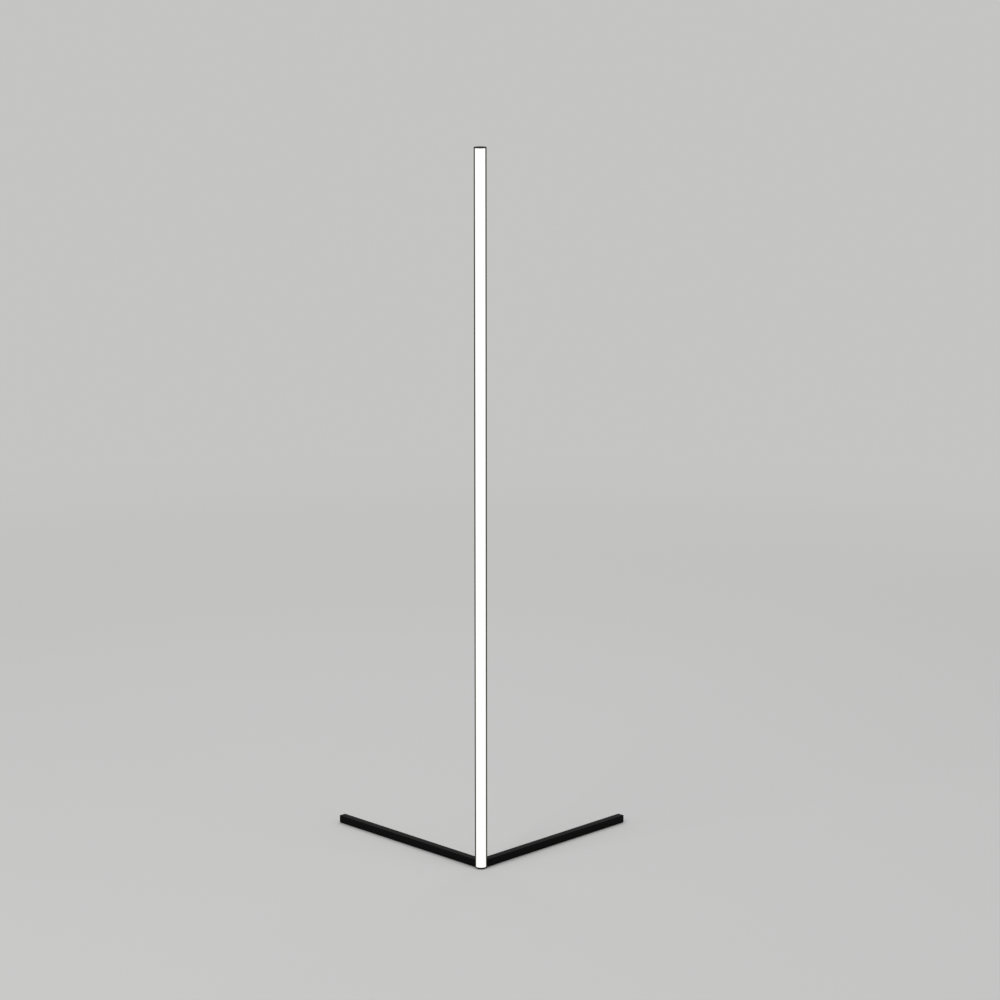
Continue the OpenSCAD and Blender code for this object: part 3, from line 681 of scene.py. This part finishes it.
def light_board(level):
    low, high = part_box("led_board_" + level)
    bm = bmesh.new()
    bmesh.ops.create_cube(bm, size=1)
    bmesh.ops.scale(bm, vec=high - low, verts=bm.verts)
    bmesh.ops.translate(bm, vec=(low + high) / 2, verts=bm.verts)
    for face in bm.faces:
        face.material_index = 0 if abs(face.normal.y) > 0.99 else 2
    long_edges = [e for e in bm.edges if e.calc_length() > 0.1]
    bmesh.ops.bevel(bm, geom=long_edges, offset=CUT_EDGE, segments=2, profile=0.5, affect="EDGES",
                    material=-1)
    close_up(bm)
    for side in (-1, 1):
        aside, in_from_end, wide, tall = LEAD_PAD if level == "lower" else LINK_PAD
        tinned_pad(bm, side * aside, low.y, low.z + in_from_end, wide, tall)
        if level != "upper":
            aside, in_from_end, wide, tall = LINK_PAD
            tinned_pad(bm, side * aside, low.y, high.z - in_from_end, wide, tall)
    return finish_piece(bm, level + "_light_board", "board", [SOLDER_MASK, SOLDER, LAMINATE],
                        "led_board_" + level)


LEVELS = ("lower", "middle", "upper")
for level in LEVELS:
    light_board(level)

# %% [markdown]
# ## Light chips
# A chip is a white frame round a well of phosphor. One corner of a box is cut, as the makers do
# to mark the negative side. The front is inset, the square corners of that inner face are
# rounded, and the face is pushed in to be the well. There are 144 chips, so one has only a few
# dozen faces.

# %% One chip
CHIPS_ON_BOARD = 48
CHIP_TALL = 2.8 * MM
CUT_CORNER = 0.45 * MM
FRAME_WALL = 0.4 * MM
WELL_SLOPE, WELL_DEPTH = 0.08 * MM, 0.15 * MM


def light_chip(wide, deep, tall):
    bm = bmesh.new()
    bmesh.ops.create_cube(bm, size=1)
    bmesh.ops.scale(bm, vec=(wide, deep, tall), verts=bm.verts)
    corner = [e for e in bm.edges if all(v.co.x > 0 and v.co.z > 0 for v in e.verts)]
    bmesh.ops.bevel(bm, geom=corner, offset=CUT_CORNER, segments=1, profile=0.5, affect="EDGES",
                    material=-1)
    bm.normal_update()
    front = [f for f in bm.faces if f.normal.y < -0.99]
    bmesh.ops.inset_region(bm, faces=front, thickness=FRAME_WALL, depth=0)
    square = [v for v in front[0].verts if v.co.x < 0 or v.co.z < 0]
    bmesh.ops.bevel(bm, geom=square, offset=CUT_CORNER, segments=3, profile=0.5, affect="VERTICES",
                    material=-1)
    bm.normal_update()
    well = max((f for f in bm.faces if f.normal.y < -0.99), key=lambda f: len(f.verts))
    bmesh.ops.inset_region(bm, faces=[well], thickness=WELL_SLOPE, depth=-WELL_DEPTH)
    well.material_index = 1
    return close_up(bm)

# %% A board's chips
def light_chips(level):
    low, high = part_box("led_chips_" + level)
    pitch = (high.z - low.z - CHIP_TALL) / (CHIPS_ON_BOARD - 1)
    bm = bmesh.new()
    middle_y, lowest = (low.y + high.y) / 2, low.z + CHIP_TALL / 2
    repeat(bm, light_chip(high.x - low.x, high.y - low.y, CHIP_TALL),
           [Matrix.Translation((0, middle_y, lowest + i * pitch)) for i in range(CHIPS_ON_BOARD)])
    return finish_piece(bm, level + "_light_chips", "chip", [CHIP_FRAME, PHOSPHOR], "led_chips_" + level)


for level in LEVELS:
    light_chips(level)

# %% [markdown]
# ## Resistors
# Each group of chips has one resistor: a white ceramic body under black glaze, with tinned ends
# that wrap round. The block is cut near both ends, and its front between the cuts sinks a
# little, so that the ends stand proud as the real terminations do.

# %% Resistors
GROUPS_ON_BOARD = 8
RESISTOR_TALL = 2.0 * MM
BODY_HALF = 0.32            # half the glazed body's height, as a share of the resistor's height


def resistor(wide, deep, tall):
    bm = bmesh.new()
    bmesh.ops.create_cube(bm, size=1)
    bmesh.ops.scale(bm, vec=(wide, deep, tall), verts=bm.verts)
    bmesh.ops.bevel(bm, geom=bm.edges[:], offset=0.06 * MM, segments=1, profile=0.5, affect="EDGES",
                    material=-1)
    for side in (-1, 1):
        bmesh.ops.bisect_plane(bm, geom=bm.verts[:] + bm.edges[:] + bm.faces[:],
                               plane_co=(0, 0, side * BODY_HALF * tall), plane_no=(0, 0, 1))
    for face in bm.faces:
        if abs(face.calc_center_median().z) > BODY_HALF * tall:
            face.material_index = 1
    sunk = [f for f in bm.faces if f.normal.y < -0.99 and f.material_index == 0]
    bmesh.ops.inset_region(bm, faces=sunk, thickness=0.05 * MM, depth=-0.04 * MM)
    return close_up(bm)


def resistors(level):
    low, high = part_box("resistors_" + level)
    pitch = (high.z - low.z - RESISTOR_TALL) / (GROUPS_ON_BOARD - 1)
    middle, lowest = (low + high) / 2, low.z + RESISTOR_TALL / 2
    bm = bmesh.new()
    repeat(bm, resistor(high.x - low.x, high.y - low.y, RESISTOR_TALL),
           [Matrix.Translation((middle.x, middle.y, lowest + i * pitch)) for i in range(GROUPS_ON_BOARD)])
    return finish_piece(bm, level + "_resistors", "resistor", [GLAZE, SOLDER], "resistors_" + level)


for level in LEVELS:
    resistors(level)

# %% [markdown]
# ## Wires between the boards
# Bare wires carry the current from one board to the next. Each end lies on a pad under a mound
# of solder. Molten solder wets the pad and is drawn up to the wire, so the mound's side is
# hollow at its foot and round at its top: a bell, spun once round.

# %% A mound of solder
# The bell's outline: how far out and how far up, from its foot to its top.
BELL = ((1, 0), (0.93, 0.06), (0.8, 0.2), (0.68, 0.45), (0.57, 0.72), (0.4, 0.92), (0.18, 0.99), (0, 1))


def solder_mound(wide, rise, tall):
    """A bell of solder that rises towards -Y from the origin; wide and tall are its foot's size."""
    bm = bmesh.new()
    row = [bm.verts.new((out, -up, 0)) for out, up in BELL]
    edges = [bm.edges.new(pair) for pair in zip(row, row[1:])]
    bmesh.ops.spin(bm, geom=row + edges, cent=(0, 0, 0), axis=(0, 1, 0), angle=math.tau, steps=20,
                   use_merge=True)
    bmesh.ops.remove_doubles(bm, verts=bm.verts, dist=0.0001)
    bmesh.ops.edgeloop_fill(bm, edges=[e for e in bm.edges if e.is_boundary])
    bmesh.ops.scale(bm, vec=(wide / 2, rise, tall / 2), verts=bm.verts)
    for face in bm.faces:
        face.material_index = 1
    return close_up(bm)

# %% Board wires
WIRE_LONG = 4 * MM
MOUND_IN = 0.75 * MM        # a mound's middle off the wire's end


def bridge_wire(radius, length):
    bm = bmesh.new()
    bmesh.ops.create_circle(bm, cap_ends=True, segments=12, radius=radius)
    raised = bmesh.ops.extrude_face_region(bm, geom=bm.faces[:])
    bmesh.ops.translate(bm, vec=(0, 0, length), verts=verts_of(raised))
    bmesh.ops.translate(bm, vec=(0, 0, -length / 2), verts=bm.verts)
    close_up(bm)
    for end in (-1, 1):
        mound = solder_mound(1.6 * MM, 2.2 * radius - PAD_RISE, 2.2 * MM)
        repeat(bm, mound, [Matrix.Translation((0, radius - PAD_RISE, end * (length / 2 - MOUND_IN)))])
    return bm


def board_wires():
    low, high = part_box("board_links")
    radius = (high.y - low.y) / 2
    places = [Matrix.Translation((side * (high.x - radius), (low.y + high.y) / 2, z))
              for side in (-1, 1) for z in (low.z + WIRE_LONG / 2, high.z - WIRE_LONG / 2)]
    bm = bmesh.new()
    repeat(bm, bridge_wire(radius, WIRE_LONG), places)
    return finish_piece(bm, "board_wires", "copper", [COPPER, SOLDER], "board_links")


board_wires()

# %% [markdown]
# ## Leads
# Two leads carry the current from the power socket down the post's groove, forward through the
# web and up onto the lowest board. A real lead turns in an easy bend. Its round end face is
# extruded for each straight run and spun a quarter turn for each bend, and at the end it is
# inset and drawn out once more: the bare, tinned strands under their solder. Extruding leaves
# the old end face behind, which would be a wall inside the lead, so it is deleted each time,
# except the first, which closes the lead's start.

# %% Straight runs and bends
def run(bm, tip, vec, keep_tip=False):
    """Draws a tube's end face straight on by vec and returns the new end face."""
    made = bmesh.ops.extrude_face_region(bm, geom=tip)
    bmesh.ops.translate(bm, vec=vec, verts=verts_of(made))
    if not keep_tip:
        bmesh.ops.delete(bm, geom=tip, context="FACES_ONLY")
    return [each for each in made["geom"] if isinstance(each, bmesh.types.BMFace)]


def bend(bm, tip, centre):
    """Turns a tube's end face by a quarter about a line along X and returns the new end face."""
    geom = tip + list({e for f in tip for e in f.edges}) + list({v for f in tip for v in f.verts})
    made = bmesh.ops.spin(bm, geom=geom, cent=centre, axis=(1, 0, 0), angle=math.radians(-90), steps=8)
    return [each for each in made["geom_last"] if isinstance(each, bmesh.types.BMFace)]

# %% Leads
BACK_BEND, FRONT_BEND = 1.35 * MM, 1.5 * MM         # radii of the two bends
STRIP_BELOW_CHIP = 2.2 * MM                         # where the covering ends, below the lowest chip
COVERING = 0.32 * MM                                # the covering's thickness
BARE_END = 1.7 * MM


def lead_tube(x, back_y, front_y, top_z, turn_z, stripped, radius):
    """A lead from its start behind the web to its bare end on the board."""
    bm = bmesh.new()
    bmesh.ops.create_circle(bm, cap_ends=True, segments=16, radius=radius,
                            matrix=Matrix.Translation((x, back_y, top_z)))
    tip = run(bm, bm.faces[:], (0, 0, turn_z + BACK_BEND - top_z), keep_tip=True)
    tip = bend(bm, tip, (x, back_y - BACK_BEND, turn_z + BACK_BEND))
    tip = run(bm, tip, (0, front_y + FRONT_BEND - back_y + BACK_BEND, 0))
    tip = bend(bm, tip, (x, front_y + FRONT_BEND, turn_z + FRONT_BEND))
    tip = run(bm, tip, (0, 0, stripped - turn_z - FRONT_BEND))
    bmesh.ops.inset_region(bm, faces=tip, thickness=COVERING, depth=0)
    covered = set(bm.faces)
    run(bm, tip, (0, 0, BARE_END))
    for face in set(bm.faces) - covered:
        face.material_index = 1
    return close_up(bm)


def lead(name, node, side, covering):
    low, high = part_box(node)
    radius, x = (high.x - low.x) / 2, (low.x + high.x) / 2
    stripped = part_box("led_chips_lower")[0].z - STRIP_BELOW_CHIP
    bm = lead_tube(x, high.y - radius, low.y + radius, high.z, low.z + radius, stripped, radius)
    pad_y = board_low.y - PAD_RISE
    repeat(bm, solder_mound(1.8 * MM, pad_y - low.y - 0.1 * MM, 2.4 * MM),
           [Matrix.Translation((x, pad_y, stripped + 1.0 * MM))])
    tab_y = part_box("jack_contact")[0].y
    repeat(bm, solder_mound(1.6 * MM, 0.45 * MM, 2.2 * MM),
           [Matrix.Translation((x, tab_y, high.z + 1.2 * MM))])
    slot = "red_lead" if side > 0 else "black_lead"
    return finish_piece(bm, name, slot, [covering, SOLDER], node)


lead("plus_lead", "lead_positive", 1, RED_PVC)
lead("minus_lead", "lead_negative", -1, BLACK_PVC)

# %% [markdown]
# ## Column and socket with broken edges
# An extrusion or a moulding never has knife edges: each corner has a small radius that catches a
# thin line of light. These two parts have many holes and seats, and their CAD shapes are exact,
# so each new piece starts as a merged copy of its CAD mesh. The flat triangles join into whole
# faces, and the edges that an eye follows get a narrow bevel: the corners of the column's
# section along its whole length, and the rim of the socket's flange. The big end faces are cut
# into well-shaped triangles, because plain ones would leave slivers where points lie in line.
# Merging drops the exact normals of the CAD mesh, so those of the column's round wall are set
# again.

# %% Broken edges
def broken_edges(name, node, slot, material, radius_mm, chosen):
    """Copies a CAD part and rounds its outer corners at the edges for which chosen says so."""
    bm = bmesh.new()
    bm.from_mesh(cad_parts[node].data)
    bmesh.ops.remove_doubles(bm, verts=bm.verts, dist=2 * SAME_PLACE)
    bmesh.ops.dissolve_limit(bm, angle_limit=math.radians(0.5), verts=bm.verts, edges=bm.edges)
    sharp = [e for e in bm.edges if e.is_convex and e.calc_face_angle(0) > math.radians(30)]
    corners = [e for e in sharp if chosen(e)]
    bmesh.ops.bevel(bm, geom=corners, offset=radius_mm * MM, offset_type="OFFSET", segments=3, profile=0.5,
                    affect="EDGES", material=-1)
    ends = [f for f in bm.faces if len(f.verts) > 4 and abs(f.normal.z) > 0.99]
    bmesh.ops.triangulate(bm, faces=ends, ngon_method="BEAUTY")
    for face in bm.faces:
        face.material_index = 0
    return finish_piece(bm, name, slot, [material], node, crease=20)


def along_the_column(edge):
    return edge.calc_length() > 1


flange_low, flange_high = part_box("jack_body")
flange_end = flange_high.x                                # radius of the flange's round ends
flange_middle = (flange_low.z + flange_high.z) / 2
flange_straight = (flange_high.z - flange_low.z) / 2 - flange_end


def round_the_flange(edge):
    """True for the outer rim of the flange's back face: a long shape with round ends."""
    for vert in edge.verts:
        past_the_straight = max(abs(vert.co.z - flange_middle) - flange_straight, 0)
        out = math.hypot(vert.co.x, past_the_straight)
        if abs(out - flange_end) > 0.02 * MM or vert.co.y < flange_high.y - 0.7 * MM:
            return False
    return abs(edge.verts[0].co.y - edge.verts[1].co.y) < 0.25 * MM


def true_round_wall(mesh, radius):
    """Points the normals of the wall round the Z axis straight out, as on the exact shape."""
    normals = [corner.vector.copy() for corner in mesh.corner_normals]
    for face in mesh.polygons:
        corners = [mesh.vertices[mesh.loops[i].vertex_index].co for i in face.loop_indices]
        on_wall = all(abs(math.hypot(c.x, c.y) - radius) < 0.02 * MM for c in corners)
        if on_wall and abs(face.normal.z) < 0.5:
            for i, corner in zip(face.loop_indices, corners):
                normals[i] = Vector((corner.x, corner.y, 0)).normalized()
    mesh.normals_split_custom_set(normals)


column = broken_edges("column_extrusion", "column_housing", "black_anodised", ANODISED, 0.15,
                      along_the_column)
true_round_wall(column.data, COLUMN_R)
broken_edges("power_socket", "jack_body", "black_plastic", MOULDED_ABS, 0.3, round_the_flange)

# %% [markdown]
# ## Floor, light and camera
# The lamp stands on a wide pale floor. Near the lamp the floor is lit as any surface is, and
# shows the lamp's shadow. Further out it fades into an even pale tone of its own, the same as
# the sky's, so that no horizon or dark patch shows behind the lamp from any side.

# %% Floor and sky
PALE = "cbcbc9"
FLOOR_LEVEL = 0.93          # share of its tone at which the lights show the near floor, as measured
FLOOR_R = 45                # metres
SHADOW_ROOM = 1.3           # metres round the lamp where only the studio's lights light the floor
EVEN_FROM = 4.0             # metres from which it has only its own tone


def pale_floor():
    bm = bmesh.new()
    bmesh.ops.create_circle(bm, cap_ends=True, cap_tris=True, segments=64, radius=FLOOR_R)
    bmesh.ops.recalc_face_normals(bm, faces=bm.faces)
    mesh = bpy.data.meshes.new("studio_floor")
    bm.to_mesh(mesh)
    bm.free()
    floor = bpy.data.objects.new("studio_floor", mesh)
    bpy.context.scene.collection.objects.link(floor)
    material, shader, place = finish_for("pale matt floor paint", PALE, 0.85, specular=0.1)
    far = add(material, "ShaderNodeVectorMath", {"operation": "LENGTH"}, n0=place)
    fade = add(material, "ShaderNodeMapRange", {"interpolation_type": "SMOOTHSTEP"},
               Value=far.outputs["Value"], From_Min=SHADOW_ROOM, From_Max=EVEN_FROM)
    even = add(material, "ShaderNodeEmission", Color=linear(PALE), Strength=FLOOR_LEVEL)
    blend = add(material, "ShaderNodeMixShader", n0=fade.outputs[0], n1=shader.outputs[0],
                n2=even.outputs[0])
    join(material, blend.outputs[0], material.node_tree.nodes["Material Output"], "Surface")
    mesh.materials.append(material)
    print("floor:", FLOOR_R, "m in radius, with an even tone from", EVEN_FROM, "m")


def pale_sky(light_level):
    """Lights the lamp evenly; the camera, metal and glass see the floor's own pale tone instead."""
    world = bpy.data.worlds.new("studio")
    bpy.context.scene.world = world
    world.use_nodes = True
    light = world.node_tree.nodes["Background"]
    light.inputs["Color"].default_value = linear("f2f4f6")
    light.inputs["Strength"].default_value = light_level
    shown = add(world, "ShaderNodeBackground", Color=linear(PALE), Strength=FLOOR_LEVEL)
    path = add(world, "ShaderNodeLightPath")
    through = add(world, "ShaderNodeMath", {"operation": "MAXIMUM"}, n0=path.outputs["Is Camera Ray"],
                  n1=path.outputs["Is Transmission Ray"])
    seen = add(world, "ShaderNodeMath", {"operation": "MAXIMUM"}, n0=through.outputs[0],
               n1=path.outputs["Is Glossy Ray"])
    blend = add(world, "ShaderNodeMixShader", n0=seen.outputs[0], n1=light.outputs[0], n2=shown.outputs[0])
    join(world, blend.outputs[0], world.node_tree.nodes["World Output"], "Surface")


pale_floor()
pale_sky(0.5)
bpy.context.scene.view_settings.view_transform = "Standard"

# %% Camera
FOCAL_PX = 3157.5           # focal length in pixels of a frame 1000 wide
SENSOR_MM = 36
FRAME_PX = 1000
CAMERA_AT = Vector((28.6, -5838.7, 2021.1)) * MM
CAMERA_DOWN = math.radians(12.452)
CAMERA_RIGHT = math.radians(0.08)

camera_data = bpy.data.cameras.new("camera")
camera_data.sensor_width = SENSOR_MM
camera_data.lens = FOCAL_PX * SENSOR_MM / FRAME_PX
camera = bpy.data.objects.new("camera", camera_data)
camera.location = CAMERA_AT
camera.rotation_euler = (math.pi / 2 - CAMERA_DOWN, 0, -CAMERA_RIGHT)
print(f"camera lens {camera_data.lens:.1f} mm, {CAMERA_AT.length:.2f} m from the lamp's foot")
bpy.context.scene.collection.objects.link(camera)
bpy.context.scene.camera = camera

# %% Lights
def soft_box(name, place, target, size, watts):
    data = bpy.data.lights.new(name, "AREA")
    data.shape = "RECTANGLE"
    data.size, data.size_y = size
    data.energy = watts
    lamp = bpy.data.objects.new(name, data)
    lamp.location = place
    lamp.rotation_euler = (Vector(target) - Vector(place)).to_track_quat("-Z", "Y").to_euler()
    bpy.context.scene.collection.objects.link(lamp)
    print(name, "light:", watts, "W")


soft_box("key", (-3.0, -3.5, 4.5), (0, 0, 0.5), (3, 3), 130)
soft_box("fill", (4.0, -3.0, 3.0), (0, 0, 0.6), (3, 3), 45)
soft_box("top", (0, 2.5, 5.0), (0, 0.2, 0), (4, 3), 90)
